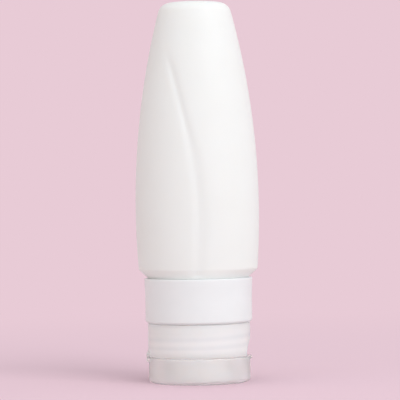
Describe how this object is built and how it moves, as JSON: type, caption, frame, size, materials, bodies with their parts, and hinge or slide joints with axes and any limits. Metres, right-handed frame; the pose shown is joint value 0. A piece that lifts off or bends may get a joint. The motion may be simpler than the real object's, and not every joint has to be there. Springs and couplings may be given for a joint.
{
  "type": "body lotion squeeze bottle",
  "caption": "Soft refillable squeeze bottle for body lotion, standing on its flip lid, with a clamped neck ring, screw cap and no-drip valve.",
  "frame": {"origin": "centre of the flat outer face of the flip lid, on which the bottle stands", "axes": "+Z along the bottle from the lid to the tail, +X toward the thumb lip, -X toward the living hinge, -Y toward the viewer of the picture"},
  "size_m": [0.05, 0.0448, 0.1541],
  "materials": {
    "silicone": "soft white silicone, satin",
    "ring_white": "white polypropylene, moulded, semi-gloss",
    "neck_white": "white polypropylene, moulded",
    "cap_frosted": "natural polypropylene, frosted and see-through",
    "lid_clear": "clear polypropylene, moulded, glossy",
    "valve_silicone": "clear silicone",
    "gasket_soft": "soft seal"
  },
  "bodies": {
    "cap": {"screw_cap": "cap_frosted", "valve": "valve_silicone", "valve_retainer": "neck_white", "hinge_film": "cap_frosted"},
    "lid": {"flip_lid": "lid_clear"},
    "seal": {"gasket": "gasket_soft"},
    "bottle": {"bottle": "silicone", "collar_ring": "ring_white", "neck_insert": "neck_white"}
  },
  "joints": [
    {"name": "lid_hinge", "type": "hinge", "parent": "cap", "child": "lid", "pos_m": [-0.02135, 0, 0.0105], "axis": [0, 1, 0], "range_deg": [0, 180], "deforming": ["hinge_film"]},
    {"name": "cap_turn", "type": "hinge", "parent": "cap", "child": "seal", "pos_m": [0, 0, 0], "axis": [0, 0, 1], "range_deg": [0, 900]},
    {"name": "cap_lift", "type": "slide", "parent": "seal", "child": "bottle", "axis": [0, 0, 1], "range_m": [0, 0.009]}
  ],
  "couplings": [
    {"joint": "cap_lift", "follows": "cap_turn", "m_per_rad": 0.00057295}
  ]
}
